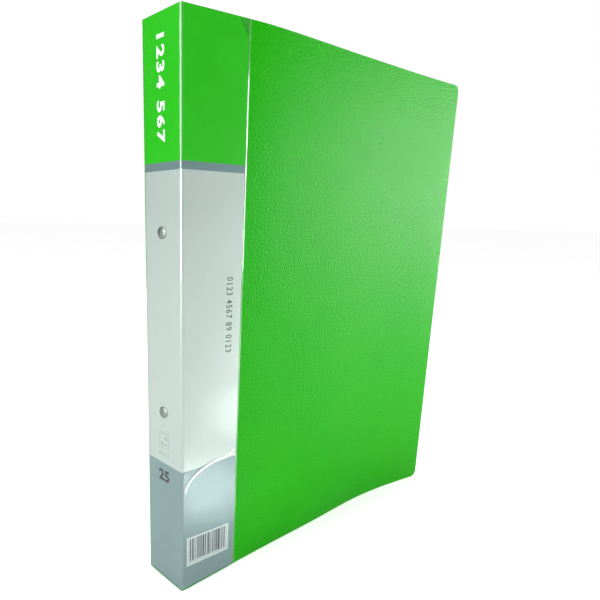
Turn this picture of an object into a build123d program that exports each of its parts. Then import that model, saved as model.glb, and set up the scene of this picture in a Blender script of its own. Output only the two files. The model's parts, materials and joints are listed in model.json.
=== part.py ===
"""Two-ring file for foolscap paper: a creased plastic sheet, a label pocket and a riveted ring mechanism.

The file stands on the foot of its spine. The origin is the centre of the spine's bottom face, +Z runs up
the spine, +X points into the file and +Y towards the back cover. Rings are closed and covers stand ajar.
"""

import os
from math import acos, cos, degrees, radians, sin

from build123d import *

# --- The plastic sheet ---------------------------------------------------------------------------------
cover_height = 345.0
cover_width = 250.0
spine_width = 33.5  # outside, over both covers when they are shut
sheet = 1.0
cover_corner = 5.0
crease_web = 0.2  # radius of the thinned web that is left in each crease
web_gap = 0.05
end_inset = 0.3  # the web, pocket and label stop this far short of the top and bottom edges
front_splay = 14.0  # how far each cover stands open at rest, in degrees
back_splay = 12.0

# A cover is ruled between its bottom and top edges. Each edge leaves the crease straight, at a small angle
# of its own, then bows: stations run along the cover, and each bow is how far the sheet lies outward there.
straight_run = 42.0
stations = (80.0, 125.0, 175.0, 215.0)
front_bottom = {"lead": -3.7, "bow": (-4.6, -6.5, -9.0, -7.0), "end": -3.0, "end_lead": 6.5}
front_top = {"lead": 5.4, "bow": (4.7, 3.4, 2.4, 2.1), "end": 2.6, "end_lead": 1.0}
back_bottom = {"lead": -1.5, "bow": (-2.2, -3.2, -3.6, -2.4), "end": -0.8, "end_lead": 3.0}
back_top = {"lead": 1.5, "bow": (2.0, 1.9, 1.3, 1.0), "end": 1.2, "end_lead": 0.5}

# --- The label and its clear pocket --------------------------------------------------------------------
label_card = 0.25
film = 0.2
pocket_reach = 41.0  # from the front crease to the outer edge of the weld
weld_width = 0.9
spine_weld = 0.4
label_play = 0.1
layer_gap = 0.01  # between the sheet, the card and the film, so that each layer stays its own solid
crease_clear = 1.2  # label and film stop this far from the front crease
label_cut_across = 6.5
label_cut_down = 10.0

# --- The ring mechanism --------------------------------------------------------------------------------
ring_pitch = 80.0
ring_bore = 20.0
ring_wire = 2.8
knee_radius = 3.0
leg_inset = 1.85  # from each blade's pivot to the leg of its ring halves
knee_clear = 0.3  # from the top of the housing to the start of the knee
tip_length = 1.2
tip_radius = 0.8
tip_taper = 0.3
tip_clear = 0.1
tip_gap = 0.05  # from the middle to the flat end of each ring half
tang_radius = 0.95
stake_radius = 1.4
stake_height = 0.3
stake_fit = 0.02

blade = 0.9
blade_length = 122.0
blade_reach = 7.0  # from the pivot to the inner edge
blade_gap = 0.05  # from the inner edge to the middle when both blades lie level
blade_dip = 4.5  # how far each blade hangs below level when the rings are shut, in degrees
pivot_clear = 0.05

housing = 0.8
housing_length = 130.0
housing_corner = 5.0
crown_rise = 5.6
shoulder_radius = 3.4
lip_rise = 0.4
hook = 0.7
hook_over = 0.2
slot_clear = 0.2
ring_swing = 9.0

rivet_pitch = 110.5
rivet_head = 7.2
rivet_dome = 1.1
rivet_brim = 0.25
rivet_shank = 1.5
rivet_clear = 0.05
post_radius = 3.0
post_neck = 2.1
post_rim = 3.2
post_rim_height = 0.6
post_clear = 0.5

# --- Worked out from the sizes above -------------------------------------------------------------------
half_sheet = sheet / 2
crease_y = spine_width / 2 - half_sheet
setback = crease_web + web_gap + half_sheet  # from a crease to the centre of a panel's rounded end
mid_height = cover_height / 2
pocket_top = cover_height - end_inset
label_under = half_sheet + layer_gap
label_face = label_under + label_card
film_under = label_face + layer_gap
film_face = film_under + film
inside = half_sheet  # the inside face of the spine, along X

pivot_y = blade_gap + blade_reach
edge_radius = blade / 2
groove_wall = pivot_y + edge_radius + pivot_clear
hook_rise = lip_rise + hook
pivot_rise = hook_rise + pivot_clear + edge_radius
housing_half = groove_wall + housing
crown_half = housing_half - shoulder_radius
ceiling = crown_rise - housing

wire = ring_wire / 2
ring_radius = ring_bore / 2 + wire
leg_reach = pivot_y - leg_inset  # from the middle of the mechanism
knee_turn = degrees(acos((leg_reach + knee_radius) / (ring_radius + knee_radius)))
knee_rise = crown_rise + knee_clear
ring_rise = knee_rise + (ring_radius + knee_radius) * sin(radians(knee_turn))
leg_shift = (crown_rise - pivot_rise) * sin(radians(ring_swing))

ring_heights = (mid_height - ring_pitch / 2, mid_height + ring_pitch / 2)
rivet_heights = (mid_height - rivet_pitch / 2, mid_height + rivet_pitch / 2)


def save(piece, name):
    """Labels a finished piece and writes it as one STEP file."""
    piece.part.label = name
    export_step(piece.part, f"parts/{name}.step")


def cover_plane(side, splay, height=0.0):
    """A level plane on one crease, X along that cover. Side is -1 for the front and 1 for the back."""
    turn = radians(splay)
    along = (cos(turn), side * sin(turn), 0)
    return Plane(origin=(0, side * crease_y, height), x_dir=along, z_dir=(0, 0, 1))


def direction(angle):
    """A unit vector at an angle to the cover, positive outward."""
    return Vector(cos(radians(angle)), sin(radians(angle)))


def sheet_section(side, splay, edge, height):
    """The outline of a cover at one height: rounded at the crease, straight, then bowed to the free edge."""
    lead = direction(edge["lead"])
    end = direction(edge["end_lead"])
    bowed = [Vector(x, y) for x, y in zip(stations, edge["bow"])]
    middle = [lead * straight_run, *bowed, Vector(cover_width, edge["end"])]
    ways = [lead, *(b - a for a, b in zip(middle, middle[2:])), end]
    normals = [Vector(-way.Y, way.X).normalized() * half_sheet for way in ways]
    outer = [point + normal for point, normal in zip(middle, normals)]
    inner = [point - normal for point, normal in zip(middle, normals)]
    root = lead * setback

    def place(point):
        return (point.X, side * point.Y)

    with BuildSketch(cover_plane(side, splay, height)) as section:
        with BuildLine():
            Line(place(root + normals[0]), place(outer[0]))
            Spline(*map(place, outer), tangents=(place(lead), place(end)))
            Line(place(outer[-1]), place(inner[-1]))
            Spline(*map(place, inner[::-1]), tangents=(place(-end), place(-lead)))
            Line(place(inner[0]), place(root - normals[0]))
            ThreePointArc(
                place(root - normals[0]),
                place(root - lead * half_sheet),
                place(root + normals[0]),
            )
        make_face()
    return section.sketch


def cover_panel(side, splay, bottom, top):
    """A whole cover, with its two free corners rounded."""
    sections = [
        sheet_section(side, splay, bottom, 0),
        sheet_section(side, splay, top, cover_height),
    ]
    with BuildPart() as panel:
        loft(sections, ruled=True)
        short = panel.edges().filter_by(lambda edge: edge.length < 1.5 * sheet)
        fillet(short.sort_by(Axis.X)[-2:], cover_corner)
    return panel


def strip_plane(edge, height):
    """A level plane on the front crease, X along the straight part of the front cover at one edge."""
    return cover_plane(-1, front_splay + edge["lead"], height)


def strip(low, high, face_in, face_out):
    """A full-height strip that lies on the straight part of the front cover, between two distances."""
    sections = []
    for edge, height in ((front_bottom, 0), (front_top, cover_height)):
        with BuildSketch(strip_plane(edge, height)) as section:
            with Locations(((low + high) / 2, -(face_in + face_out) / 2)):
                Rectangle(high - low, face_out - face_in)
        sections.append(section.sketch)
    return loft(sections, ruled=True, mode=Mode.PRIVATE)


def keep_between(low, high):
    """Trims the part being built to a band of heights."""
    split(bisect_by=Plane.XY.offset(low), keep=Keep.TOP)
    split(bisect_by=Plane.XY.offset(high), keep=Keep.BOTTOM)


def slab(x_low, x_high, y_low, y_high, z_low, z_high, mode=Mode.ADD):
    """A block between two corners."""
    with Locations(((x_low + x_high) / 2, (y_low + y_high) / 2, (z_low + z_high) / 2)):
        Box(x_high - x_low, y_high - y_low, z_high - z_low, mode=mode)


def rivet_holes(radius):
    """Holes along X for both rivets, right through the part being built."""
    for height in rivet_heights:
        with Locations(Location((0, 0, height), (0, 90, 0))):
            Cylinder(radius, 4 * crown_rise, mode=Mode.SUBTRACT)


# --- The sheet: spine, two covers and the webs in the creases ------------------------------------------
def make_spine_panel():
    with BuildPart() as panel:
        with BuildSketch():
            with Locations(Rotation(0, 0, 90)):
                SlotCenterToCenter(2 * (crease_y - setback), sheet)
        extrude(amount=cover_height)
        rivet_holes(rivet_shank + rivet_clear)
    return panel


def make_crease_web(side):
    with BuildPart() as web:
        with BuildSketch(Plane.XY.offset(end_inset)):
            with Locations((0, side * crease_y)):
                Circle(crease_web)
        extrude(amount=cover_height - 2 * end_inset)
    return web


# --- The label card and the clear pocket, each in two parts that meet at the front crease --------------
spine_film_end = crease_y - setback
spine_label_end = spine_film_end - spine_weld - label_play
label_low = end_inset + weld_width + label_play
label_high = pocket_top - label_play
label_reach = pocket_reach - weld_width - label_play


def make_spine_label():
    with BuildPart() as label:
        slab(-label_face, -label_under, crease_clear - crease_y, spine_label_end, label_low, label_high)
        rivet_holes(rivet_shank + rivet_clear)
    return label


def make_spine_film():
    with BuildPart() as pocket:
        front_end = crease_clear - crease_y
        slab(-film_face, -film_under, front_end, spine_film_end, end_inset, pocket_top)
        foot = end_inset + weld_width
        slab(-film_under, -half_sheet, front_end, spine_film_end, end_inset, foot)
        slab(-film_under, -half_sheet, spine_film_end - spine_weld, spine_film_end, foot, pocket_top)
        rivet_holes(rivet_shank + rivet_clear)
    return pocket


def make_cover_label():
    with BuildPart() as label:
        add(strip(crease_clear, label_reach, label_under, label_face))
        keep_between(label_low, label_high)
        edge = front_splay + front_top["lead"]
        across = (cos(radians(edge)), -sin(radians(edge)), 0)
        corner = cover_plane(-1, edge, label_high).from_local_coords(Vector(label_reach, 0, 0))
        outward = Vector(0, 0, 1).cross(Vector(across))
        with BuildSketch(Plane(origin=corner, x_dir=across, z_dir=outward)):
            with BuildLine():
                over = label_cut_across
                Polyline((-over, 0), (over, 0), (over, label_cut_down), (0, label_cut_down), close=True)
            make_face()
        extrude(amount=4 * sheet, both=True, mode=Mode.SUBTRACT)
    return label


def make_cover_film():
    """The film, and the weld that holds its outer edge and its foot to the cover, as two solids."""
    with BuildPart() as slot:
        add(strip(0, pocket_reach - weld_width, 0, film_face))
        split(bisect_by=Plane.XY.offset(end_inset + weld_width), keep=Keep.TOP)
    with BuildPart() as pocket:
        add(strip(crease_clear, pocket_reach, label_under, label_face))
        add(slot.part, mode=Mode.SUBTRACT)
        add(strip(crease_clear, pocket_reach, film_under, film_face))
        keep_between(end_inset, pocket_top)
    return pocket


# --- The ring mechanism: housing, blades, ring halves, posts and rivets --------------------------------
def blade_plane(side, lift=0.0):
    """The plane of one blade at rest: origin on its pivot, X to its inner edge, Z away from the spine."""
    dip = radians(blade_dip)
    toward = (-sin(dip), -side * cos(dip), 0)
    normal = (cos(dip), -side * sin(dip), 0)
    pivot = (inside + pivot_rise, side * pivot_y, mid_height)
    return Plane(origin=pivot, x_dir=toward, z_dir=normal).offset(lift)


def make_housing():
    with BuildPart() as shell:
        with BuildSketch(Plane.XY.offset(mid_height - housing_length / 2)):
            with BuildLine():
                crown = Line((inside + crown_rise, 0), (inside + crown_rise, crown_half))
                shoulder = JernArc(crown @ 1, crown % 1, shoulder_radius, 90)
                side = Line(shoulder @ 1, (inside + lip_rise, housing_half))
                lip = Line(side @ 1, (inside + lip_rise, pivot_y - hook_over))
                end = Line(lip @ 1, (inside + hook_rise, pivot_y - hook_over))
                floor = Line(end @ 1, (inside + hook_rise, groove_wall))
                wall = Line(floor @ 1, (inside + crown_rise - shoulder_radius, groove_wall))
                turn = JernArc(wall @ 1, wall % 1, shoulder_radius - housing, -90)
                Line(turn @ 1, (inside + ceiling, 0))
                mirror(about=Plane.XZ)
            make_face()
        extrude(amount=housing_length)
        with BuildSketch(Plane.YZ):
            with Locations((0, mid_height)):
                RectangleRounded(2 * housing_half, housing_length, housing_corner)
        extrude(amount=4 * crown_rise, mode=Mode.INTERSECT)
        rivet_holes(post_neck + rivet_clear)
        slot_half = wire + slot_clear
        slot_middle = leg_reach + leg_shift / 2
        with BuildSketch(Plane.YZ.offset(inside + pivot_rise)):
            for height in ring_heights:
                with Locations((-slot_middle, height), (slot_middle, height)):
                    SlotOverall(2 * slot_half + leg_shift, 2 * slot_half)
        extrude(amount=crown_rise, mode=Mode.SUBTRACT)
    return shell


def make_blade(side):
    with BuildPart() as plate:
        with BuildSketch(Plane.XY.offset(mid_height - blade_length / 2)):
            with Locations((inside + pivot_rise, side * pivot_y)):
                Circle(edge_radius)
        extrude(amount=blade_length)
        with BuildSketch(blade_plane(side, -blade / 2)):
            with Locations((blade_reach / 2, 0)):
                Rectangle(blade_reach, blade_length)
        extrude(amount=blade)
        rivet_holes(post_radius + post_clear)
        for height in ring_heights:
            with Locations(Location((inside + pivot_rise, side * leg_reach, height), (0, 90, 0))):
                Cylinder(tang_radius + stake_fit, 4 * blade, mode=Mode.SUBTRACT)
    return plate


def make_half_ring(side, height):
    with BuildPart() as half:
        foot = (inside + pivot_rise, side * leg_reach)
        with BuildLine(Plane.XY.offset(height)) as path:
            leg = Line(foot, (inside + knee_rise, side * leg_reach))
            knee = JernArc(leg @ 1, leg % 1, knee_radius, side * knee_turn)
            JernArc(knee @ 1, knee % 1, ring_radius, -side * (knee_turn + 90))
        with BuildSketch(Plane(origin=(*foot, height), z_dir=(1, 0, 0))):
            Circle(wire)
        sweep(path=path.line)
        split(bisect_by=blade_plane(side, blade / 2), keep=Keep.TOP)
        split(bisect_by=Plane.XZ.offset(-side * tip_gap), keep=Keep.BOTTOM if side > 0 else Keep.TOP)
        tang_foot = (inside + pivot_rise - blade, side * leg_reach, height)
        with BuildSketch(Plane(origin=tang_foot, z_dir=(1, 0, 0))):
            Circle(tang_radius)
        extrude(amount=2 * blade)
        split(bisect_by=blade_plane(side, -blade / 2 - stake_height), keep=Keep.TOP)
        with BuildSketch(blade_plane(side, -blade / 2)):
            with Locations((pivot_y - leg_reach, side * (mid_height - height))):
                Circle(stake_radius)
        extrude(amount=-stake_height)
        tip = (inside + ring_rise + ring_radius, side * tip_gap, height)
        if side < 0:
            with BuildSketch(Plane(origin=tip, z_dir=(0, 1, 0))):
                Circle(tip_radius)
            extrude(amount=tip_length)
            chamfer(half.edges().group_by(Axis.Y)[-1], tip_taper)
        else:
            with BuildSketch(Plane(origin=tip, z_dir=(0, 1, 0))):
                Circle(tip_radius + tip_clear)
            extrude(amount=tip_length + tip_clear, mode=Mode.SUBTRACT)
    return half


def turned(profile, height):
    """A round piece on one rivet's axis, from (radius, x) points that start and end on the axis or bore."""
    middle = Plane(origin=(0, 0, height), x_dir=(0, 0, 1), z_dir=(0, 1, 0))
    with BuildPart() as piece:
        with BuildSketch(middle):
            with BuildLine():
                profile()
            make_face()
        revolve(axis=Axis((0, 0, height), (1, 0, 0)))
    return piece


def post_profile():
    bore = rivet_shank + rivet_clear
    rim_top = inside + crown_rise + post_rim_height
    start = (bore, inside)
    rim_edge = (post_rim, inside + crown_rise)
    roll = post_rim_height / 2
    Polyline(
        start,
        (post_radius, inside),
        (post_radius, inside + ceiling),
        (post_neck, inside + ceiling),
        (post_neck, inside + crown_rise),
        rim_edge,
    )
    ThreePointArc(rim_edge, (post_rim - roll / 3, rim_top - roll / 2), (post_neck, rim_top))
    Polyline((post_neck, rim_top), (bore, rim_top - roll), start)


def rivet_profile():
    head = rivet_head / 2
    under = -film_face
    top = under - rivet_dome
    end = inside + ceiling
    taper = rivet_shank / 3
    Polyline(
        (0, top),
        (0, end),
        (rivet_shank - taper, end),
        (rivet_shank, end - taper),
        (rivet_shank, under),
        (head, under),
        (head, under - rivet_brim),
    )
    Spline((head, under - rivet_brim), (head / 2, top + rivet_dome / 6), (0, top), tangents=((-1, -1), (-1, 0)))


os.makedirs("parts", exist_ok=True)
save(make_spine_panel(), "spine_panel")
save(make_crease_web(-1), "front_crease_web")
save(make_crease_web(1), "back_crease_web")
save(cover_panel(-1, front_splay, front_bottom, front_top), "front_cover")
save(cover_panel(1, back_splay, back_bottom, back_top), "back_cover")
save(make_spine_label(), "spine_label")
save(make_spine_film(), "spine_pocket_film")
save(make_cover_label(), "cover_label")
save(make_cover_film(), "cover_pocket_film")
save(make_housing(), "ring_housing")
for side, name in ((-1, "front"), (1, "back")):
    save(make_blade(side), f"{name}_blade")
    for height, place in zip(ring_heights, ("lower", "upper")):
        save(make_half_ring(side, height), f"{place}_{name}_ring")
for height, place in zip(rivet_heights, ("lower", "upper")):
    save(turned(post_profile, height), f"{place}_post")
    save(turned(rivet_profile, height), f"{place}_rivet")
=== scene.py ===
"""Builds the looks of a two-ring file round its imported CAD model: sheet, label, pocket, print and metal."""

import json
import math

import bpy
import numpy as np
from bpy.props import FloatProperty, FloatVectorProperty, PointerProperty
from mathutils import Matrix, Vector


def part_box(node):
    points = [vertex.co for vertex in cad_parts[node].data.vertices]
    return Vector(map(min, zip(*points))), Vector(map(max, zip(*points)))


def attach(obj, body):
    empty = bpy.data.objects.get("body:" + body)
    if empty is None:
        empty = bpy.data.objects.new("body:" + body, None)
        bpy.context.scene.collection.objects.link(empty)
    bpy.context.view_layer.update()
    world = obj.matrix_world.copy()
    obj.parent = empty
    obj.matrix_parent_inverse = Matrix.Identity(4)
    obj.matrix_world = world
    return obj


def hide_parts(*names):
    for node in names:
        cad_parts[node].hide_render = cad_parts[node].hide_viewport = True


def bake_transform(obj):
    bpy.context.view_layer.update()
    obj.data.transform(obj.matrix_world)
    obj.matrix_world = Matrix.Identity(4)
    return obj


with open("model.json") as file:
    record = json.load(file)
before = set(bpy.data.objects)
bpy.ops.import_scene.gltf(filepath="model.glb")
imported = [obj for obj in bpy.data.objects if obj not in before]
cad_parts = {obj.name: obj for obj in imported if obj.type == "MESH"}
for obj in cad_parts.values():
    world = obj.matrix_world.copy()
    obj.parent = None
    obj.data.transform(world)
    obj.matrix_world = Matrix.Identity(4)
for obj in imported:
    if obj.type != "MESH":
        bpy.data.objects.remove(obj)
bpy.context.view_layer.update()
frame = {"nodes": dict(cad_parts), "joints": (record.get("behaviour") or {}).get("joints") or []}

bl_info = {
    "name": "Ring File Builder",
    "version": (1, 0, 0),
    "blender": (4, 5, 0),
    "location": "View3D > Sidebar > Ring File",
    "description": "Builds a creased plastic ring file with a label pocket round its mechanical frame",
    "category": "Add Mesh",
}

# --- What the frame gives -------------------------------------------------------------------------------
MM = 0.001
JOINTS = {joint["name"]: joint for joint in frame["joints"]}
SPINE_LOW, SPINE_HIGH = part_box("spine_panel")
HEIGHT = SPINE_HIGH.z
HALF_SHEET = SPINE_HIGH.x
CREASE = JOINTS["back_crease"]["pos_m"][1]
SPLAY = {-1: -JOINTS["front_crease"]["range_deg"][0], 1: -JOINTS["back_crease"]["range_deg"][0]}
FRONT = -1
BACK = 1


def spread(low, high, count):
    """count evenly spaced numbers from low to high."""
    return np.linspace(low, high, count)


def join(*arrays):
    """Arrays end to end, with the places where they meet given once."""
    return np.concatenate([arrays[0], *(a[1:] for a in arrays[1:])])


def smooth(x):
    """The S-shaped step 3x^2 - 2x^3, held at 0 and 1 outside its range."""
    x = np.clip(x, 0, 1)
    return x * x * (3 - 2 * x)


def linear(red, green, blue):
    """A display colour, 0 to 255, as the linear colour that shaders use."""
    value = np.array([red, green, blue]) / 255
    return tuple(np.where(value <= 0.04045, value / 12.92, ((value + 0.055) / 1.055) ** 2.4))


# --- Sizes and colours that a user would change ---------------------------------------------------------
def length(name, description, millimetres):
    """A length that a user can change, given in millimetres."""
    return FloatProperty(name=name, description=description, default=millimetres * MM, unit="LENGTH")


def angle(name, description, value):
    """An angle that a user can change, given in degrees."""
    return FloatProperty(name=name, description=description, default=math.radians(value), unit="ROTATION")


def lengths(name, description, *millimetres):
    """Several lengths of one kind that a user can change, given in millimetres."""
    values = tuple(value * MM for value in millimetres)
    return FloatVectorProperty(
        name=name, description=description, default=values, size=len(values), unit="LENGTH"
    )


def colour(name, description, red, green, blue):
    """A colour that a user can change, given as a display colour from 0 to 255."""
    value = linear(red, green, blue)
    return FloatVectorProperty(
        name=name, description=description, default=value, subtype="COLOR", min=0, max=1
    )


class RingFileSheet(bpy.types.PropertyGroup):
    width: length("Cover width", "From the crease to the free edge", 250)
    corner: length("Corner", "Radius of the covers' free corners", 5)
    straight: length("Straight run", "How far each cover runs straight from its crease", 42)
    stations: lengths("Stations", "Distances from the crease where the bows are given", 80, 125, 175, 215)
    front_foot: lengths(
        "Front foot", "Outward bow of the front cover's bottom edge", -4.6, -6.5, -9.0, -7.0, -3.0
    )
    front_head: lengths("Front head", "Outward bow of the front cover's top edge", 4.7, 3.4, 2.4, 2.1, 2.6)
    back_foot: lengths(
        "Back foot", "Outward bow of the back cover's bottom edge", -2.2, -3.2, -3.6, -2.4, -0.8
    )
    back_head: lengths("Back head", "Outward bow of the back cover's top edge", 2.0, 1.9, 1.3, 1.0, 1.2)
    bend: length("Bend", "Inner radius that a crease bends round", 1.0)
    web: length("Web", "Thickness left in a crease", 0.45)
    green: colour("Green", "The sheet's own colour", 8, 160, 0)


class RingFilePocket(bpy.types.PropertyGroup):
    reach: length("Reach", "From the front crease to the outer edge of the weld", 41)
    weld: length("Weld", "Width of the weld on the front cover and at the foot", 0.9)
    spine_end: length("Spine end", "From the spine's middle to the end of the film", 15.5)
    spine_weld: length("Spine weld", "Width of the weld beside the back crease", 0.4)
    inset: length("Inset", "From the sheet's top and bottom edges to the film's", 0.3)
    film: length("Film", "Thickness of the clear film", 0.17)
    ripple: length("Ripple", "How far the film stands off the card at most", 0.22)


class RingFileLabel(bpy.types.PropertyGroup):
    card: length("Card", "Thickness of the card", 0.25)
    play: length("Play", "Room between the card and the welds", 0.1)
    cut_across: length("Cut across", "Width of the cut corner", 6.5)
    cut_down: length("Cut down", "Height of the cut corner", 10)
    stripe_top: length("Stripe top", "Where the green field ends", 267)
    stripe_foot: length("Stripe foot", "Where the grey stripe ends", 262.5)
    base_top: length("Base top", "Where the dark field begins", 83)
    green: colour("Green field", "Top of the card", 30, 186, 0)
    stripe: colour("Stripe", "Stripe under the green field", 122, 150, 152)
    pale: colour("Pale field", "Middle of the card", 198, 213, 206)
    dark: colour("Dark field", "Foot of the card", 134, 162, 164)
    ink: colour("Ink", "Dark figures", 10, 28, 36)


class RingFileStage(bpy.types.PropertyGroup):
    eye: lengths("Eye", "Where the camera stands", -165.9, -203.0, 234.3)
    heading: angle("Heading", "Camera heading, from +Y towards +X", 46.88)
    dip: angle("Dip", "How far the camera looks down", 9.96)
    roll: angle("Roll", "Camera roll", 0.8)
    lens: FloatProperty(name="Lens", description="Focal length for a 36 mm sensor, in mm", default=26.56)
    shift: FloatProperty(name="Shift", description="Sideways shift, in sensor widths", default=0.13)
    floor: colour("Floor", "The floor's colour", 242, 242, 242)


# --- Surfaces -------------------------------------------------------------------------------------------
def clamped_spline(knots, levels, first, last, at):
    """The cubic spline through levels at the knots, read at the places in at, with slopes first and last at
    its ends. The knots' slopes solve the usual system: neighbouring cubics have the same curvature where they
    meet."""
    step = np.diff(knots)
    rise = np.diff(levels) / step
    size = len(knots)
    system = np.eye(size)
    wanted = np.zeros(size)
    wanted[0] = first
    wanted[-1] = last
    inner = np.arange(1, size - 1)
    system[inner, inner - 1] = step[1:]
    system[inner, inner] = 2 * (step[1:] + step[:-1])
    system[inner, inner + 1] = step[:-1]
    wanted[inner] = 3 * (step[1:] * rise[:-1] + step[:-1] * rise[1:])
    slope = np.linalg.solve(system, wanted)
    span = np.clip(np.searchsorted(knots, at) - 1, 0, size - 2)
    width = step[span]
    t = (at - knots[span]) / width
    start = levels[span] * (1 + 2 * t) * (1 - t) ** 2 + slope[span] * width * t * (1 - t) ** 2
    end = levels[span + 1] * t * t * (3 - 2 * t) + slope[span + 1] * width * t * t * (t - 1)
    return start + end


# Angles of each cover's foot and head, in degrees: LEADS at its crease and ENDS at its free edge.
LEADS = {FRONT: (-3.7, 5.4), BACK: (-1.5, 1.5)}
ENDS = {FRONT: (6.5, 1.0), BACK: (3.0, 0.5)}


def edge_bow(sheet, side, end, along):
    """How far one edge of a cover (end 0 is its foot, 1 its head) lies outward at distances along from the
    crease: a straight line at the lead angle, then a clamped spline through the stations."""
    lead = math.tan(math.radians(LEADS[side][end]))
    last = math.tan(math.radians(ENDS[side][end]))
    name = ("front" if side == FRONT else "back") + ("_foot", "_head")[end]
    turn = math.cos(math.atan(lead)) * sheet.straight
    knots = np.array([turn, *sheet.stations, sheet.width])
    bows = np.array([turn * lead, *getattr(sheet, name)])
    bent = clamped_spline(knots, bows, lead, last, np.maximum(along, turn))
    return np.where(along < turn, along * lead, bent)


def cover_points(sheet, side, along, z, lift):
    """Points of a cover: ruled between its foot and head edges, then moved outward by lift along its normal.
    The arrays along, z and lift have one shape, and the result adds an axis for x, y and z."""
    t = z / HEIGHT
    tiny = 0.05 * MM

    def bow(at):
        return (1 - t) * edge_bow(sheet, side, 0, at) + t * edge_bow(sheet, side, 1, at)

    out = bow(along)
    slope = (bow(along + tiny) - bow(along - tiny)) / (2 * tiny)
    size = np.sqrt(1 + slope**2)
    local_x = along - lift * slope / size
    local_y = out + lift / size
    splay = math.radians(SPLAY[side])
    x = local_x * math.cos(splay) - local_y * math.sin(splay)
    y = CREASE + local_x * math.sin(splay) + local_y * math.cos(splay)
    return np.stack([x, side * y, z], axis=-1)


def lead_angle(side, z):
    """Angle of a cover's straight part to the spine's normal, at each height."""
    low, high = (math.tan(math.radians(value)) for value in LEADS[side])
    slope = low + (high - low) * z / HEIGHT
    return math.radians(SPLAY[side]) + np.arctan(slope)


def setback(sheet, lead):
    """How far a bend's ends lie from the crease, along the spine and along the cover: the tangent length of
    a circle that touches both."""
    return sheet.bend * (1 - np.sin(lead)) / np.cos(lead)


# Rows of points that a layer has across the spine and round a crease, unless it asks for more.
SPINE_ROWS = 12
BEND_ROWS = 10


def wrapped(sheet, side, start, alongs, z, lift, spine_rows=SPINE_ROWS, bend_rows=BEND_ROWS):
    """Points of a layer that runs over the spine from start, round a crease and along a cover to the last of
    alongs. Rows go along that path and columns up it; z gives their heights. Lift is how far the layer lies
    outside the middle of the sheet. On the spine a point is straight out from it. Round the crease it is on
    a circle whose centre lies one bend radius inside spine and cover. On the cover see cover_points."""
    lift = np.broadcast_to(lift, z.shape)
    cover_row = spine_rows + bend_rows
    lead = lead_angle(side, z)
    back = setback(sheet, lead)

    part = spread(0, 1, spine_rows)[:, None]
    rows = slice(0, spine_rows)
    across = start + part * (CREASE - back[rows] - start)
    spine = np.stack([-lift[rows], side * across, z[rows]], axis=-1)

    rows = slice(spine_rows, cover_row)
    swept = spread(0, 1, bend_rows + 1)[1:, None] * (np.pi / 2 - lead[rows])
    radius = sheet.bend + lift[rows]
    x = sheet.bend - radius * np.cos(swept)
    across = CREASE - back[rows] + radius * np.sin(swept)
    bend = np.stack([x, side * across, z[rows]], axis=-1)

    rows = slice(cover_row, None)
    along = np.broadcast_to(alongs[:, None], z[rows].shape)
    return np.concatenate([spine, bend, cover_points(sheet, side, along, z[rows], lift[rows])])


def heights(low, high, parts):
    """A row of heights from low to high for each entry of those arrays, at the given parts of the way."""
    return low[:, None] + parts[None, :] * (high - low)[:, None]


def rim(grid):
    """The numbers of a grid's border points, once round, without repeating the first."""
    return np.concatenate([grid[0, :-1], grid[:-1, -1], grid[-1, :0:-1], grid[:0:-1, 0]])


def shell(name, outer, inner, material, flip=False, **fields):
    """A closed mesh from two grids of points of one shape: quads over the outer one, quads the other way
    over the inner one, and a flat rim that joins their borders. Fields are point attributes on the grid."""
    rows, columns = outer.shape[:2]
    count = rows * columns
    top = np.arange(count).reshape(rows, columns)
    quads = np.stack([top[:-1, :-1], top[1:, :-1], top[1:, 1:], top[:-1, 1:]], axis=-1).reshape(-1, 4)
    border = rim(top)
    follow = np.roll(border, -1)
    edge = np.stack([border, follow, follow + count, border + count], axis=-1)
    faces = np.concatenate([quads, quads[:, ::-1] + count, edge])
    if flip:
        faces = faces[:, ::-1]
    points = np.concatenate([outer.reshape(-1, 3), inner.reshape(-1, 3)])
    flat = np.arange(len(faces)) >= 2 * len(quads)
    piece = mesh_piece(name, points, faces, material, flat)
    for field, values in fields.items():
        repeated = np.tile(np.broadcast_to(values, (rows, columns)).ravel(), 2).astype(np.float32)
        piece.data.attributes.new(field, "FLOAT", "POINT").data.foreach_set("value", repeated)
    return piece


SHARP = math.radians(50)  # faces that meet at more than this aren't shaded as one


def mesh_piece(name, points, faces, material, flat=None):
    """An object at the origin with these points and faces of four corners, smooth except where flat."""
    mesh = bpy.data.meshes.new(name)
    mesh.vertices.add(len(points))
    mesh.vertices.foreach_set("co", points.astype(np.float32).ravel())
    mesh.loops.add(faces.size)
    mesh.loops.foreach_set("vertex_index", faces.astype(np.int32).ravel())
    mesh.polygons.add(len(faces))
    mesh.polygons.foreach_set("loop_start", np.arange(0, faces.size, faces.shape[1], dtype=np.int32))
    flat = np.zeros(len(faces), bool) if flat is None else flat
    mesh.update(calc_edges=True)
    mesh.polygons.foreach_set("use_smooth", ~flat)
    mesh.validate()
    mesh.set_sharp_from_angle(angle=SHARP)
    mesh.materials.append(material)
    piece = bpy.data.objects.new(name, mesh)
    bpy.context.scene.collection.objects.link(piece)
    return piece


def across_crease(piece):
    """Bakes a piece's placement into its mesh and returns it; it is not tied to the crease."""
    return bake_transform(piece)


# --- Shader helpers -------------------------------------------------------------------------------------
def add(tree, kind, settings=None, **links):
    """A shader node of this kind. Settings are its own values, and links are numbers or sockets for its
    inputs: each is named with _ for a space, or numbered as i0, i1 and so on."""
    node = tree.nodes.new("ShaderNode" + kind)
    for key, value in (settings or {}).items():
        setattr(node, key, value)
    for key, value in links.items():
        numbered = key[0] == "i" and key[1:].isdigit()
        socket = node.inputs[int(key[1:]) if numbered else key.replace("_", " ")]
        if isinstance(value, bpy.types.NodeSocket):
            tree.links.new(value, socket)
        else:
            socket.default_value = value
    return node


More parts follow.
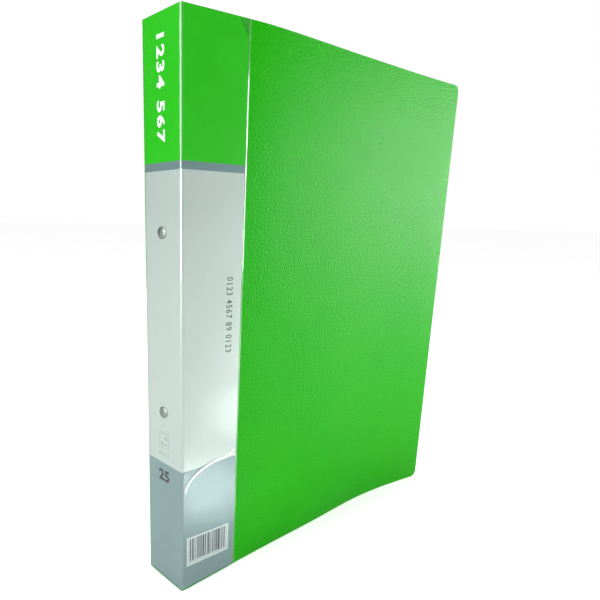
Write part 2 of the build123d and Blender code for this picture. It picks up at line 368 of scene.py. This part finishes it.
def math_node(tree, operation, a, b=0.0, c=0.0, clamp=False):
    """What one Math node makes of a, b and c, which are numbers or sockets."""
    return add(tree, "Math", {"operation": operation, "use_clamp": clamp}, i0=a, i1=b, i2=c).outputs[0]


def blend_colours(tree, factor, a, b, mode="MIX"):
    """Colour a turned into colour b by the factor, or combined with it in another mode."""
    node = tree.nodes.new("ShaderNodeMix")
    node.data_type = "RGBA"
    node.blend_type = mode
    mixed, first, second = node.inputs[0], node.inputs[6], node.inputs[7]
    for socket, value in ((mixed, factor), (first, a), (second, b)):
        if isinstance(value, bpy.types.NodeSocket):
            tree.links.new(value, socket)
        elif socket.type == "RGBA":
            socket.default_value = (*value[:3], 1)
        else:
            socket.default_value = value
    return node.outputs[2]


def noise(tree, place, scale, detail=3.0, roughness=0.5):
    """Soft random values over the object's own coordinates."""
    links = {"Vector": place, "Scale": scale, "Detail": detail, "Roughness": roughness}
    return add(tree, "TexNoise", None, **links).outputs[0]


def ramp(tree, value, low, high, to_low=0.0, to_high=1.0):
    """A value moved from one range to another, and held at its ends."""
    links = {"Value": value, "From_Min": low, "From_Max": high, "To_Min": to_low, "To_Max": to_high}
    return add(tree, "MapRange", {"clamp": True}, **links).outputs[0]


def effect(name, inputs, outputs, fill):
    """A shader node group, made once: inputs and outputs are (name, kind) pairs, and fill wires its nodes."""
    if name in bpy.data.node_groups:
        return bpy.data.node_groups[name]
    tree = bpy.data.node_groups.new(name, "ShaderNodeTree")
    for label, kind, *value in inputs:
        socket = tree.interface.new_socket(name=label, in_out="INPUT", socket_type="NodeSocket" + kind)
        if value:
            socket.default_value = value[0]
    for label, kind in outputs:
        tree.interface.new_socket(name=label, in_out="OUTPUT", socket_type="NodeSocket" + kind)
    given = tree.nodes.new("NodeGroupInput")
    result = tree.nodes.new("NodeGroupOutput")
    for label, socket in fill(tree, given.outputs).items():
        tree.links.new(socket, result.inputs[label])
    return tree


def emboss_effect():
    """The fine pressed grain of matte plastic: small rounded cells over a softer unevenness."""

    def fill(tree, given):
        size = math_node(tree, "DIVIDE", 1.0, given["Size"])
        links = {"Vector": given["Place"], "Scale": size, "Smoothness": 0.6}
        cells = add(tree, "TexVoronoi", {"feature": "SMOOTH_F1"}, **links)
        fine = noise(tree, given["Place"], math_node(tree, "MULTIPLY", size, 2.3), 2.0)
        height = math_node(tree, "ADD", math_node(tree, "MULTIPLY", cells.outputs[0], 0.7), fine)
        links = {"Height": height, "Strength": given["Strength"], "Distance": given["Depth"]}
        bump = add(tree, "Bump", None, **links)
        return {"Normal": bump.outputs[0], "Height": height}

    inputs = (
        ("Place", "Vector"),
        ("Size", "Float", 0.0006),
        ("Depth", "Float", 0.00004),
        ("Strength", "Float", 1.0),
    )
    return effect("Pressed grain", inputs, (("Normal", "Vector"), ("Height", "Float")), fill)


def handling_effect():
    """Where hands and shelves have been: soft smudges, with thin scratches that run mostly one way."""

    def fill(tree, given):
        soft = noise(tree, given["Place"], 14.0, 4.0, 0.55)
        smudge = ramp(tree, soft, 0.42, 0.72)
        stretch = {"Rotation": (0.5, 0.9, 0.35), "Scale": (900, 40, 60)}
        turned = add(tree, "Mapping", None, Vector=given["Place"], **stretch)
        line = noise(tree, turned.outputs[0], 1.0, 2.0, 0.6)
        thin = ramp(tree, line, 0.70, 0.78)
        gate = ramp(tree, noise(tree, given["Place"], 30.0, 2.0), 0.5, 0.65)
        scratch = math_node(tree, "MULTIPLY", thin, gate)
        return {"Smudge": smudge, "Scratch": scratch}

    return effect("Handling", (("Place", "Vector"),), (("Smudge", "Float"), ("Scratch", "Float")), fill)


def use(tree, group, **links):
    """Places a node group in a material and wires or sets its inputs."""
    node = tree.nodes.new("ShaderNodeGroup")
    node.node_tree = group
    for key, value in links.items():
        if isinstance(value, bpy.types.NodeSocket):
            tree.links.new(value, node.inputs[key])
        else:
            node.inputs[key].default_value = value
    return node.outputs


def finish(name):
    """A new material: its node tree, its Principled shader and the object's own coordinates."""
    material = bpy.data.materials.new(name)
    material.use_nodes = True
    tree = material.node_tree
    place = tree.nodes.new("ShaderNodeTexCoord").outputs["Object"]
    return material, tree, tree.nodes["Principled BSDF"].inputs, place


# --- Finishes -------------------------------------------------------------------------------------------
def green_plastic(sheet):
    """Matte polypropylene: saturated green, slightly paler where the grain stands up, with a broad sheen."""
    material, tree, shader, place = finish("green_plastic")
    grain = use(tree, emboss_effect(), Place=place, Size=0.0013, Depth=0.00024, Strength=1.0)
    marks = use(tree, handling_effect(), Place=place)
    base = sheet.green
    cloud = noise(tree, place, 6.0, 3.0, 0.55)
    paler = tuple(np.minimum(np.array(base) * 1.06 + np.array((0.014, 0.012, 0)), 1))
    tint = blend_colours(tree, ramp(tree, cloud, 0.3, 0.7), base, paler)
    tint = blend_colours(tree, ramp(tree, grain["Height"], 0.55, 1.25, 0.0, 0.16), tint, paler)
    pale_mark = tuple(np.minimum(np.array(base) * 1.2 + 0.03, 1))
    tint = blend_colours(tree, math_node(tree, "MULTIPLY", marks["Scratch"], 0.35), tint, pale_mark)
    tree.links.new(tint, shader["Base Color"])
    rough = math_node(tree, "MULTIPLY_ADD", marks["Smudge"], -0.04, 0.31)
    uneven = ramp(tree, cloud, 0.3, 0.7, -0.03, 0.03)
    tree.links.new(math_node(tree, "ADD", rough, uneven), shader["Roughness"])
    tree.links.new(grain["Normal"], shader["Normal"])
    shader["IOR"].default_value = 1.49
    shader["Specular IOR Level"].default_value = 0.14
    return material


def label_card(label):
    """Coated card printed in bands up its height: dark silver, pale silver, a grey stripe and green."""
    material, tree, shader, place = finish("printed_card")
    height = add(tree, "SeparateXYZ", None, Vector=place).outputs["Z"]
    fine = noise(tree, place, 900.0, 2.0)
    soft = noise(tree, place, 9.0, 3.0)
    ragged = 0.00008  # how far the edge between two bands wanders

    def above(level):
        wobble = math_node(tree, "MULTIPLY_ADD", fine, ragged, level - ragged / 2)
        return math_node(tree, "GREATER_THAN", height, wobble)

    tint = blend_colours(tree, above(label.base_top), label.dark, label.pale)
    tint = blend_colours(tree, above(label.stripe_foot), tint, label.stripe)
    tint = blend_colours(tree, above(label.stripe_top), tint, label.green)
    uneven = math_node(tree, "ADD", math_node(tree, "MULTIPLY", fine, 0.3), soft)
    shade = ramp(tree, uneven, 0.4, 0.9, 0.95, 1.03)
    grey = add(tree, "CombineColor", None, Red=shade, Green=shade, Blue=shade).outputs[0]
    tree.links.new(blend_colours(tree, 1.0, tint, grey, "MULTIPLY"), shader["Base Color"])
    tree.links.new(ramp(tree, soft, 0.3, 0.7, 0.34, 0.42), shader["Roughness"])
    bump = add(tree, "Bump", None, Height=fine, Strength=0.15, Distance=0.00002)
    tree.links.new(bump.outputs[0], shader["Normal"])
    silver = math_node(tree, "SUBTRACT", 1.0, above(label.stripe_top))
    tree.links.new(math_node(tree, "MULTIPLY", silver, 0.4), shader["Metallic"])
    return material


def clear_film():
    """Clear soft film: a mirror only as strong as film reflects at that slope, milky where it is welded, with
    a painted highlight along the crease and a painted glare along an arc. Its inner faces are left out,
    because Fresnel makes them mirror everything."""
    material, tree, shader, place = finish("clear_film")
    # This attribute holds real whitening at the welds, plus a painted highlight at the crease and a painted
    # glare along the ridge.
    milk = add(tree, "Attribute", {"attribute_name": "milk"}).outputs["Fac"]
    grain = noise(tree, place, 700.0, 2.0)
    milk = math_node(tree, "MULTIPLY", milk, ramp(tree, grain, 0.3, 0.7, 0.8, 1.0))
    slope = add(tree, "Fresnel", None, IOR=1.52).outputs[0]
    seen = math_node(tree, "MAXIMUM", math_node(tree, "MULTIPLY_ADD", slope, 1.0, 0.015), milk)
    outside = math_node(tree, "SUBTRACT", 1.0, add(tree, "NewGeometry").outputs["Backfacing"])
    tree.links.new(math_node(tree, "MULTIPLY", seen, outside), shader["Alpha"])
    tree.links.new(math_node(tree, "SUBTRACT", 1.0, milk, clamp=True), shader["Metallic"])
    shader["Base Color"].default_value = (0.93, 0.97, 0.94, 1)
    soft = noise(tree, place, 40.0, 3.0)
    tree.links.new(ramp(tree, soft, 0.35, 0.75, 0.07, 0.14), shader["Roughness"])
    bump = add(tree, "Bump", None, Height=soft, Strength=0.25, Distance=0.0003)
    tree.links.new(bump.outputs[0], shader["Normal"])
    return material


def ink(name, value):
    """Printed ink with a slightly uneven film."""
    material, tree, shader, place = finish(name)
    mottle = noise(tree, place, 1500.0, 2.0)
    darker = tuple(np.array(value) * 0.86)
    tree.links.new(blend_colours(tree, ramp(tree, mottle, 0.4, 0.7), value, darker), shader["Base Color"])
    tree.links.new(ramp(tree, mottle, 0.3, 0.7, 0.32, 0.45), shader["Roughness"])
    return material


def plated_metal(name, value, rough, wear, brushed=False):
    """Plated steel: faint clouding of the plate, fine lines, and duller patches where it has been handled."""
    material, tree, shader, place = finish(name)
    marks = use(tree, handling_effect(), Place=place)
    cloud = noise(tree, place, 120.0, 4.0)
    stretch = add(tree, "Mapping", None, Vector=place, Scale=(2500, 2500, 60) if brushed else (400, 400, 400))
    lines = noise(tree, stretch.outputs[0], 1.0, 3.0, 0.6)
    duller = tuple(np.array(value) * 0.72)
    tint = blend_colours(tree, ramp(tree, cloud, 0.35, 0.75, 0.0, wear), value, duller)
    tree.links.new(tint, shader["Base Color"])
    worn = math_node(tree, "MULTIPLY_ADD", marks["Smudge"], 0.12 * wear, rough)
    worn = math_node(tree, "MULTIPLY_ADD", lines, 0.10, worn)
    worn = math_node(tree, "MULTIPLY_ADD", marks["Scratch"], 0.2, worn, clamp=True)
    tree.links.new(worn, shader["Roughness"])
    bump = add(tree, "Bump", None, Height=lines, Strength=0.35 if brushed else 0.12, Distance=0.00002)
    tree.links.new(bump.outputs[0], shader["Normal"])
    shader["Metallic"].default_value = 1.0
    return material


# --- Pieces ---------------------------------------------------------------------------------------------
def user_sizes():
    """The sheet's, the pocket's and the label's sizes and colours."""
    scene = bpy.context.scene
    return scene.ring_file_sheet, scene.ring_file_pocket, scene.ring_file_label


def rounded_ends(sheet, alongs):
    """The lowest and highest point of a cover at distances along it: its full height, less a quarter circle
    at each free corner."""
    into = np.clip(alongs - (sheet.width - sheet.corner), 0, sheet.corner)
    drop = sheet.corner - np.sqrt(np.maximum(sheet.corner**2 - into**2, 0))
    return drop, HEIGHT - drop


def half_sheet(sheet, side, name, material):
    """One cover, its crease and half of the spine as one sheet. The crease is pressed thinner from inside: a
    smooth groove takes the inner face out to leave the web."""
    spine_rows, bend_rows = 14, 14
    past_bend, past_groove = 1.2 * MM, 4 * MM
    groove_reach = 2.2 * MM
    corner = np.sin(spread(0, 0.5 * np.pi, 9)) * sheet.corner
    alongs = join(
        spread(past_bend, past_groove, 8),
        spread(past_groove, sheet.straight, 12),
        spread(sheet.straight, sheet.width - sheet.corner, 60),
        sheet.width - sheet.corner + corner,
    )
    low, high = rounded_ends(sheet, alongs)
    flat = np.zeros(spine_rows + bend_rows)
    low = np.concatenate([flat, low])
    high = np.concatenate([flat + HEIGHT, high])
    z = heights(low, high, spread(0, 1, 49))
    distance = np.concatenate([(1 - spread(0, 1, spine_rows)) * CREASE, np.zeros(bend_rows), alongs])
    groove = (2 * HALF_SHEET - sheet.web) * (1 - smooth(distance / groove_reach))[:, None]
    outer = wrapped(sheet, side, 0, alongs, z, HALF_SHEET, spine_rows, bend_rows)
    inner = wrapped(sheet, side, 0, alongs, z, groove - HALF_SHEET, spine_rows, bend_rows)
    piece = shell(name, outer, inner, material, flip=side == BACK)
    return across_crease(piece)


class RINGFILE_OT_sheet(bpy.types.Operator):
    """Builds the creased sheet as a front half and a back half that meet in the middle of the spine"""

    bl_idname = "ringfile.sheet"
    bl_label = "Sheet"

    def execute(self, context):
        sheet = user_sizes()[0]
        plastic = green_plastic(sheet)
        front = half_sheet(sheet, FRONT, "front_half_of_sheet", plastic)
        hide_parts("front_cover", "front_crease_web", "spine_panel")
        back = half_sheet(sheet, BACK, "back_half_of_sheet", plastic)
        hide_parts("back_cover", "back_crease_web")
        return {"FINISHED"}


# How far the card's and the film's inner faces lie outside the middle of the sheet.
CARD_LIFT = HALF_SHEET + 0.01 * MM
FILM_LIFT = HALF_SHEET + 0.31 * MM
PAST_BEND = 1.5 * MM  # from a crease to the first points of a layer on the cover


class RINGFILE_OT_label(bpy.types.Operator):
    """Builds the printed card, in one piece round the front crease"""

    bl_idname = "ringfile.label"
    bl_label = "Label card"

    def execute(self, context):
        sheet, pocket, label = user_sizes()
        start = label.play + pocket.spine_weld - pocket.spine_end
        reach = pocket.reach - pocket.weld - label.play
        square = reach - label.cut_across
        alongs = join(spread(PAST_BEND, square, 14), spread(square, reach, 6))
        rows = SPINE_ROWS + BEND_ROWS
        foot = pocket.inset + pocket.weld + label.play
        head = HEIGHT - pocket.inset - label.play
        cut = np.clip((alongs - reach + label.cut_across) / label.cut_across, 0, 1) * label.cut_down
        low = np.full(rows + len(alongs), foot)
        high = np.concatenate([np.full(rows, head), head - cut])
        z = heights(low, high, spread(0, 1, 61))
        clearance = 0.02 * MM
        outer = wrapped(sheet, FRONT, start, alongs, z, CARD_LIFT + label.card - clearance)
        inner = wrapped(sheet, FRONT, start, alongs, z, CARD_LIFT)
        card = shell("label_card", outer, inner, label_card(label))
        across_crease(card)
        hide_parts("spine_label", "cover_label")
        return {"FINISHED"}


# The arc of a painted glare on the film, which a low ridge follows: distances along the front cover, and the
# arc's height there.
GLARE_ARC_PLACES = np.array([0, 1.2, 6, 12.8, 22.8, 32.7, 36.9, 39.3, 40.2]) * MM
GLARE_ARC_HEIGHTS = np.array([66, 69.7, 77, 81.3, 84.1, 84.9, 87.2, 84, 78]) * MM

# How far the film takes to rise from its welds, and from the one beside the back crease. Then the bead that
# runs along the weld on the cover, and the ridge under the painted glare's arc.
RISE = 0.3 * MM
SPINE_RISE = 0.25 * MM
BEAD_INSET = 0.45 * MM
BEAD_WIDTH = 0.25 * MM
RIDGE_WIDTH = 1.1 * MM
STANDING = 0.16 * MM  # height of both


def ripple(place, z):
    """How far the film stands off the card, 0 to 1: three long crossing waves."""
    wave = np.sin(2 * np.pi * (z / 0.131 + place / 0.19) + 0.6)
    wave = wave + 0.7 * np.sin(2 * np.pi * (z / 0.077 - place / 0.09) + 2.1)
    wave = wave + 0.5 * np.sin(2 * np.pi * (z / 0.29 + place / 0.05) + 4.0)
    return 0.5 + wave / 4.4


class RINGFILE_OT_pocket(bpy.types.Operator):
    """Builds the clear pocket: film over the card, drawn down to the sheet along its welds"""

    bl_idname = "ringfile.pocket"
    bl_label = "Label pocket"

    def execute(self, context):
        sheet, pocket, label = user_sizes()
        inner_edge = pocket.reach - pocket.weld
        alongs = join(spread(PAST_BEND, inner_edge - MM, 40), spread(inner_edge - MM, pocket.reach, 16))
        spine_rows, bend_rows = 40, 12
        part = spread(0, 1, spine_rows)
        count = spine_rows + bend_rows + len(alongs)
        foot_top = pocket.inset + pocket.weld
        fine = join(spread(0, 0.006, 13), spread(0.006, 0.18, 40), spread(0.18, 0.27, 90))
        parts = join(fine, spread(0.27, 1, 90))
        z = heights(np.full(count, pocket.inset), np.full(count, HEIGHT - pocket.inset), parts)
        spine_place = (1 - part) * -(pocket.spine_end + CREASE)
        place = np.concatenate([spine_place, np.zeros(bend_rows), alongs])[:, None]
        from_end = place + pocket.spine_end + CREASE
        raised = smooth((from_end - pocket.spine_weld) / SPINE_RISE)
        raised = raised * smooth((inner_edge - place) / RISE)
        raised = raised * smooth((z - foot_top) / RISE)
        near_bend = smooth(np.abs(place) / (9 * MM))
        away = smooth(from_end / (8 * MM)) * smooth((inner_edge - place) / (7 * MM))
        lift = HALF_SHEET + raised * (FILM_LIFT - HALF_SHEET)
        lift = lift + raised * pocket.ripple * ripple(place, z) * (0.15 + 0.85 * near_bend * away)
        bead = np.exp(-(((place - pocket.reach + BEAD_INSET) / BEAD_WIDTH) ** 2)) * STANDING
        # The ridge's arc: the film is raised here, and it is also painted white there as a glare.
        glare_arc_z = np.interp(place, GLARE_ARC_PLACES, GLARE_ARC_HEIGHTS)
        ridge_and_glare = np.exp(-(((z - glare_arc_z) / RIDGE_WIDTH) ** 2)) * smooth(place / MM)
        lift = lift + raised * ridge_and_glare * STANDING
        rows = (spine_rows, bend_rows)
        outer = wrapped(sheet, FRONT, -pocket.spine_end, alongs, z, lift + pocket.film + bead, *rows)
        inner = wrapped(sheet, FRONT, -pocket.spine_end, alongs, z, lift, *rows)
        # Painted highlight: the bend rows of the film are painted whiter along the crease.
        crease_highlight = np.zeros(count)
        crease_highlight[spine_rows - 1 : spine_rows + bend_rows] = 1
        edge = smooth((place - pocket.reach + 0.6 * MM) / (0.2 * MM))
        milk = np.maximum(0.12 * (1 - raised), 0.55 * edge)
        beside = (place - inner_edge) / label.cut_across + 1
        cut = HEIGHT - pocket.inset - label.play - beside * label.cut_down
        milk = np.maximum(milk, 0.16 * smooth(beside / 0.05) * smooth((z - cut) / MM))
        milk = np.maximum(milk, 0.16 * crease_highlight[:, None])
        # Painted glare: the film is painted white along the ridge, standing in for a reflection.
        milk = np.maximum(milk, 0.85 * ridge_and_glare * raised)
        film = shell("label_pocket", outer, inner, clear_film(), milk=milk)
        across_crease(film)
        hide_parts("spine_pocket_film", "cover_pocket_film")
        return {"FINISHED"}


# --- Print ----------------------------------------------------------------------------------------------
PRINT_LIFT = CARD_LIFT + 0.235 * MM
PRINT_DEPTH = 0.012 * MM
BOLD = 0.035  # how far bold figures swell, as a share of their size


def mm(*values):
    """Millimetres as an array in metres."""
    return np.array(values) * MM


def on_spine(sheet, across, z, lift):
    """Points on the spine's face, across from its middle towards the front cover."""
    return np.stack([-lift, -across, z], axis=-1)


def on_cover(sheet, across, z, lift):
    """Points on the front cover's face, across from the crease. Print near the foot runs slightly
    downhill."""
    downhill = 0.07 * across * smooth((60 * MM - z) / (10 * MM))
    return cover_points(sheet, FRONT, across, z - downhill, lift)


def figures(name, text, surface, low, high, material, downward, bold=0.0):
    """Plain figures stretched to fill the box from low to high, given as (across, height). They read downward
    with their tops towards the front cover's free edge, or upright."""
    sheet = user_sizes()[0]
    curve = bpy.data.curves.new(name, "FONT")
    curve.body = text
    curve.extrude = 0.5
    curve.offset = bold
    curve.space_character = 1.18 if downward else 1.05
    curve.resolution_u = 4
    drawn = bpy.data.objects.new(name, curve)
    bpy.context.scene.collection.objects.link(drawn)
    mesh = bpy.data.meshes.new_from_object(drawn)
    bpy.data.objects.remove(drawn)
    points = np.empty(len(mesh.vertices) * 3, np.float32)
    mesh.vertices.foreach_get("co", points)
    points = points.reshape(-1, 3).astype(float)
    least, most = points.min(0), points.max(0)
    part = (points - least) / (most - least)
    if downward:
        across = low[0] + part[:, 1] * (high[0] - low[0])
        z = high[1] - part[:, 0] * (high[1] - low[1])
    else:
        across = low[0] + part[:, 0] * (high[0] - low[0])
        z = low[1] + part[:, 1] * (high[1] - low[1])
    placed = surface(sheet, across, z, PRINT_LIFT + part[:, 2] * PRINT_DEPTH)
    mesh.vertices.foreach_set("co", placed.astype(np.float32).ravel())
    mesh.materials.clear()
    mesh.materials.append(material)
    mesh.update()
    piece = bpy.data.objects.new(name, mesh)
    bpy.context.scene.collection.objects.link(piece)
    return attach(piece, "spine" if surface is on_spine else "front")


def boxes(name, surface, across, z, lift, material):
    """Thin flat boxes on the card, one for each row of across and z, which hold their low and high ends. Each
    is cut in eight along its height so that it follows the cover."""
    sheet = user_sizes()[0]
    cuts = 9
    part = spread(0, 1, cuts)
    level = z[:, :1] + part[None, :] * (z[:, 1:] - z[:, :1])
    low, high = (np.repeat(across[:, i : i + 1], cuts, axis=1) for i in (0, 1))
    side_points = []
    for side, depth in ((low, 0), (high, 0), (high, PRINT_DEPTH), (low, PRINT_DEPTH)):
        side_points.append(surface(sheet, side, level, np.full(level.shape, lift + depth)))
    points = np.stack(side_points, axis=2)
    number = np.arange(points.shape[0] * cuts * 4).reshape(-1, cuts, 4)
    follow = np.roll(number, -1, axis=2)
    walls = np.stack([number[:, :-1], number[:, 1:], follow[:, 1:], follow[:, :-1]], axis=-1).reshape(-1, 4)
    faces = np.concatenate([walls, number[:, 0, :], number[:, -1, ::-1]])
    piece = mesh_piece(name, points.reshape(-1, 3), faces, material, np.ones(len(faces), bool))
    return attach(piece, "spine" if surface is on_spine else "front")


def frame_boxes(low, high, line):
    """The four sides of a rectangular outline given in millimetres, as rows of across and z ends."""
    across = [(low[0], high[0]), (low[0], high[0]), (low[0], low[0] + line), (high[0] - line, high[0])]
    z = [(low[1], low[1] + line), (high[1] - line, high[1]), (low[1], high[1]), (low[1], high[1])]
    return np.array(across) * MM, np.array(z) * MM


class RINGFILE_OT_print(bpy.types.Operator):
    """Prints plain figures, a barcode of random bars and a small outline on the card"""

    bl_idname = "ringfile.print"
    bl_label = "Print"

    def execute(self, context):
        label = user_sizes()[2]
        white = ink("white_ink", linear(236, 246, 238))
        dark = ink("dark_ink", label.ink)
        green = ink("green_ink", linear(34, 100, 52))
        faint = ink("faint_ink", linear(150, 178, 158))
        pale = ink("pale_ink", linear(196, 209, 208))
        lighter = ink("lighter_ink", linear(226, 234, 232))
        title = figures(
            "title_figures", "1234 567", on_spine, mm(-3.6, 277.5), mm(3.4, 334), white, True, BOLD
        )
        size = figures("size_figures", "25", on_spine, mm(-5.2, 70.3), mm(4.8, 78.2), dark, False, BOLD)
        small = figures(
            "cover_figures", "0123 4567 89 0123", on_cover, mm(29.6, 155), mm(34.0, 202), green, True, 0.012
        )

        # The barcode's bars and gaps take turns, and their widths are drawn at random.
        left, right = 5.2, 33.2
        draw = np.random.default_rng(7)
        widths = draw.choice([0.35, 0.7, 1.05], 46, p=[0.5, 0.32, 0.18])
        ends = np.concatenate([[0], np.cumsum(widths)]) / widths.sum() * (right - left) + left
        across = np.stack([ends[0:-1:2], ends[1::2]], axis=-1) * MM
        z = np.tile(mm(19.6, 35.4), (len(across), 1))
        patch_low, patch_high = (2.9, 16.7), (35.4, 36.6)
        strips = spread(patch_low[0], patch_high[0], 13) * MM
        patch = np.stack([strips[:-1], strips[1:]], axis=-1)
        patch_z = np.tile(mm(patch_low[1], patch_high[1]), (len(patch), 1))
        on_patch = PRINT_LIFT + PRINT_DEPTH
        border = frame_boxes(patch_low, patch_high, 0.6)
        ground = boxes("barcode_ground", on_cover, patch, patch_z, PRINT_LIFT, pale)
        bars = boxes("barcode_bars", on_cover, across, z, on_patch, dark)
        edges = boxes("barcode_edge", on_cover, *border, on_patch, lighter)

        outline = frame_boxes((-4.4, 93), (4.4, 103.5), 0.4)
        mark = boxes("outline_mark", on_spine, *outline, PRINT_LIFT, faint)
        inner = mm((-2.6, -1.2), (-0.6, 2.8), (1.2, 2.8))
        inner_z = mm((95, 97.5), (95, 96), (98.5, 101))
        detail = boxes("outline_detail", on_spine, inner, inner_z, PRINT_LIFT, faint)
        caption = figures(
            "caption_figures", "000 00", on_spine, mm(-5.2, 87.6), mm(5.0, 90.4), faint, False
        )
        return {"FINISHED"}


class RINGFILE_OT_mechanism(bpy.types.Operator):
    """Gives the ring mechanism and its rivets their plated finishes"""

    bl_idname = "ringfile.mechanism"
    bl_label = "Ring mechanism"

    def execute(self, context):
        nickel = plated_metal("bright_nickel", linear(222, 220, 214), 0.16, 0.35)
        zinc = plated_metal("zinc_plate", linear(186, 190, 192), 0.30, 0.6, brushed=True)
        dull = plated_metal("dull_rivet", linear(168, 176, 172), 0.36, 0.7)
        finishes = {"ring_housing": nickel, "front_blade": zinc, "back_blade": zinc}
        for height in ("lower", "upper"):
            finishes[height + "_front_ring"] = nickel
            finishes[height + "_back_ring"] = nickel
            finishes[height + "_post"] = nickel
            finishes[height + "_rivet"] = dull
        for name, metal in finishes.items():
            materials = frame["nodes"][name].data.materials
            materials.clear()
            materials.append(metal)
        return {"FINISHED"}


# --- Stage ----------------------------------------------------------------------------------------------
def lamp(name, kind, place, target, power):
    """A light of this kind at a place, aimed at a target."""
    light = bpy.data.lights.new(name, kind)
    light.energy = power
    holder = bpy.data.objects.new(name, light)
    holder.location = place
    holder.rotation_euler = (Vector(target) - Vector(place)).to_track_quat("-Z", "Y").to_euler()
    bpy.context.scene.collection.objects.link(holder)
    return light


def area_light(name, place, target, size, power):
    """A rectangular light, aimed at a target."""
    light = lamp(name, "AREA", place, target, power)
    light.shape = "RECTANGLE"
    light.size, light.size_y = size


# Pools of light on the floor, which the film and the front cover mirror: name, place across and in front,
# width in degrees, power.
POOLS = (
    ("strip_pool", 0.05, -0.118, 5, 420),
    ("near_pool", 0.17, -0.24, 9, 380),
    ("far_pool", 0.33, -0.42, 14, 700),
)


def studio_world():
    """A white backdrop for the eye, and a dim even sky for light and reflections."""
    world = bpy.data.worlds.new("studio")
    world.use_nodes = True
    tree = world.node_tree
    direct = tree.nodes.new("ShaderNodeLightPath").outputs["Is Camera Ray"]
    strength = tree.nodes.new("ShaderNodeMapRange")
    strength.inputs["To Min"].default_value = 0.11
    tree.links.new(direct, strength.inputs["Value"])
    tree.links.new(strength.outputs[0], tree.nodes["Background"].inputs["Strength"])
    tree.nodes["Background"].inputs["Color"].default_value = (1, 1, 1, 1)
    return world


class RINGFILE_OT_stage(bpy.types.Operator):
    """Sets a pale floor, soft studio light and the camera"""

    bl_idname = "ringfile.stage"
    bl_label = "Stage"

    def execute(self, context):
        scene = context.scene
        stage = scene.ring_file_stage
        material, tree, shader, place = finish("pale_floor")
        cloud = noise(tree, place, 2.0, 3.0)
        nearly = tuple(np.array(stage.floor) * 0.98)
        direct = tree.nodes.new("ShaderNodeLightPath").outputs["Is Camera Ray"]
        bounced = tuple(np.array(stage.floor) * 0.42)
        tint = blend_colours(tree, direct, bounced, blend_colours(tree, cloud, stage.floor, nearly))
        tree.links.new(tint, shader["Base Color"])
        shader["Roughness"].default_value = 0.7
        reach = 30.0
        corners = np.array([(-reach, -reach, 0), (reach, -reach, 0), (reach, reach, 0), (-reach, reach, 0)])
        floor = mesh_piece("floor", corners + (0, 0, -0.0002), np.array([[0, 1, 2, 3]]), material)

        scene.world = studio_world()
        area_light("broad_side", (-1.1, -0.1, 0.55), (0, 0, 0.17), (0.9, 1.1), 16)
        area_light("cover_haze", (0.96, -0.84, 0.34), (0.2, -0.06, 0.24), (0.46, 0.62), 12)
        area_light("back_fill", (0.6, 0.9, 0.8), (0.1, 0, 0.17), (0.9, 0.9), 8)
        overhead = lamp("overhead", "SUN", (0, 0, 2), (0, 0, 0), 3.45)
        overhead.angle = math.radians(35)
        for name, x, y, spread_angle, power in POOLS:
            pool = lamp(name, "SPOT", (x, y - 0.01, 1.2), (x, y, 0), power)
            pool.spot_size = math.radians(spread_angle)
            pool.spot_blend = 0.8
            pool.shadow_soft_size = 0.02

        lens = bpy.data.cameras.new("camera")
        lens.sensor_width = 36
        lens.lens = stage.lens
        lens.shift_x = stage.shift
        lens.clip_start = 0.01
        camera = bpy.data.objects.new("camera", lens)
        scene.collection.objects.link(camera)
        heading, dip = stage.heading, stage.dip
        ahead = Vector((math.sin(heading) * math.cos(dip), math.cos(heading) * math.cos(dip), -math.sin(dip)))
        right = Vector((math.cos(heading), -math.sin(heading), 0))
        above = right.cross(ahead)
        level = Matrix((right, above, -ahead)).transposed()
        unrolled = Matrix.Translation(stage.eye) @ level.to_4x4()
        camera.matrix_world = unrolled @ Matrix.Rotation(stage.roll, 4, "Z")
        scene.camera = camera
        scene.view_settings.view_transform = "Standard"
        return {"FINISHED"}


# --- Panel and registration -----------------------------------------------------------------------------
PIECES = (
    RINGFILE_OT_sheet,
    RINGFILE_OT_label,
    RINGFILE_OT_pocket,
    RINGFILE_OT_print,
    RINGFILE_OT_mechanism,
    RINGFILE_OT_stage,
)
GROUPS = {
    "ring_file_sheet": RingFileSheet,
    "ring_file_pocket": RingFilePocket,
    "ring_file_label": RingFileLabel,
    "ring_file_stage": RingFileStage,
}


class RINGFILE_PT_panel(bpy.types.Panel):
    """Lists the steps that build the ring file"""

    bl_label = "Ring File"
    bl_idname = "RINGFILE_PT_panel"
    bl_space_type = "VIEW_3D"
    bl_region_type = "UI"
    bl_category = "Ring File"

    def draw(self, context):
        for step in PIECES:
            self.layout.operator(step.bl_idname)
        for group in GROUPS:
            holder = getattr(context.scene, group)
            box = self.layout.box()
            for name in holder.bl_rna.properties.keys():
                if name not in ("rna_type", "name"):
                    box.prop(holder, name)


def register():
    """Adds the classes and the scene's groups of sizes to Blender."""
    for kind in (*GROUPS.values(), *PIECES, RINGFILE_PT_panel):
        bpy.utils.register_class(kind)
    for name, kind in GROUPS.items():
        setattr(bpy.types.Scene, name, PointerProperty(type=kind))


def unregister():
    """Takes out what register() added."""
    for name in GROUPS:
        delattr(bpy.types.Scene, name)
    for kind in reversed((*GROUPS.values(), *PIECES, RINGFILE_PT_panel)):
        bpy.utils.unregister_class(kind)


def main():
    """Builds every piece and the stage."""
    register()
    bpy.ops.ringfile.sheet()
    bpy.ops.ringfile.label()
    bpy.ops.ringfile.pocket()
    bpy.ops.ringfile.print()
    bpy.ops.ringfile.mechanism()
    bpy.ops.ringfile.stage()


if __name__ == "__main__":
    main()
